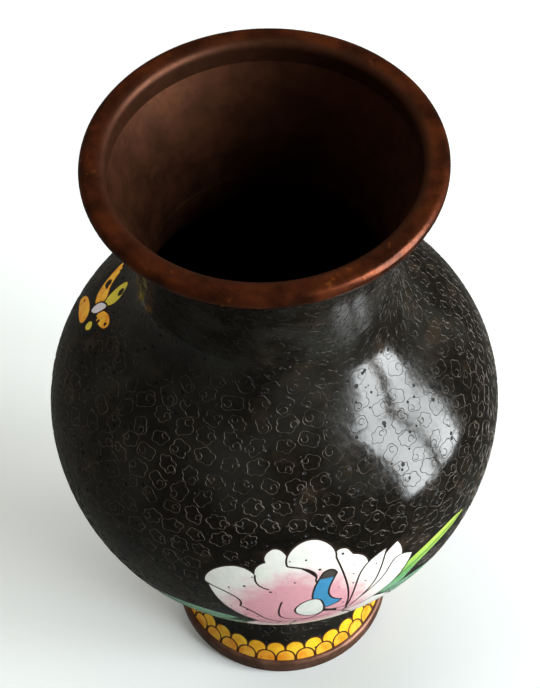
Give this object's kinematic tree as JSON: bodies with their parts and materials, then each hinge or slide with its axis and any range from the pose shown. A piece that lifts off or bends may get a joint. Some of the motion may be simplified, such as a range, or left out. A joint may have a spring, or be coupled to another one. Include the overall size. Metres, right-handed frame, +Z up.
{
  "type": "cloisonne vase",
  "caption": "Baluster-shaped cloisonne vase: brazed copper shells, copper rings at mouth and foot, dark enamel with a peony, leaves and a butterfly between wires.",
  "frame": {"origin": "centre of the foot ring's flat underside, on the vase's axis", "axes": "+Z up the vase's axis through the mouth; the peony faces -Y, turned 8 degrees towards +X"},
  "size_m": [0.093, 0.093, 0.1524],
  "materials": {
    "copper_sheet": "bare copper, oxidised brown inside the vase",
    "copper_ring": "copper ring with a dark brown patina, rubbed bright along its edge",
    "braze": "dull braze metal",
    "ground_enamel": "black enamel ground flush and polished, with small pits",
    "base_enamel": "plain black counter-enamel",
    "petal_enamel": "white enamel shading to pink at the middle of the blossom",
    "bud_enamel": "white enamel",
    "stamen_enamel": "mid blue enamel",
    "leaf_enamel": "green enamel, yellow-green at the tips",
    "wing_enamel": "orange enamel",
    "wing_tip_enamel": "yellow-green enamel",
    "butterfly_body_enamel": "pale lilac enamel",
    "butterfly_spot_enamel": "dark red-brown enamel",
    "border_upper_enamel": "yellow enamel",
    "border_lower_enamel": "orange-yellow enamel",
    "picture_wire": "copper ribbon wire, ground flush and browned"
  },
  "bodies": {
    "root": {"neck_shell": "copper_sheet", "upper_body_shell": "copper_sheet", "lower_body_shell": "copper_sheet", "foot_shell": "copper_sheet", "base_plate": "copper_sheet", "mouth_rim_ring": "copper_ring", "foot_rim_ring": "copper_ring", "neck_braze_seam": "braze", "belly_braze_seam": "braze", "waist_braze_seam": "braze", "neck_ground_enamel": "ground_enamel", "body_ground_enamel": "ground_enamel", "foot_ground_enamel": "ground_enamel", "base_counter_enamel": "base_enamel", "peony_petal_enamel": "petal_enamel", "back_blossom_enamel": "petal_enamel", "peony_bud_enamel": "bud_enamel", "back_blossom_centre_enamel": "bud_enamel", "peony_stamen_enamel": "stamen_enamel", "leaf_enamel": "leaf_enamel", "back_leaf_enamel": "leaf_enamel", "butterfly_wing_enamel": "wing_enamel", "butterfly_wing_tip_enamel": "wing_tip_enamel", "butterfly_body_enamel": "butterfly_body_enamel", "butterfly_spot_enamel": "butterfly_spot_enamel", "foot_border_upper_enamel": "border_upper_enamel", "foot_border_lower_enamel": "border_lower_enamel", "peony_wires": "picture_wire", "leaf_wires": "picture_wire", "butterfly_wires": "picture_wire", "back_spray_wires": "picture_wire", "foot_border_wires": "picture_wire"}
  },
  "joints": []
}
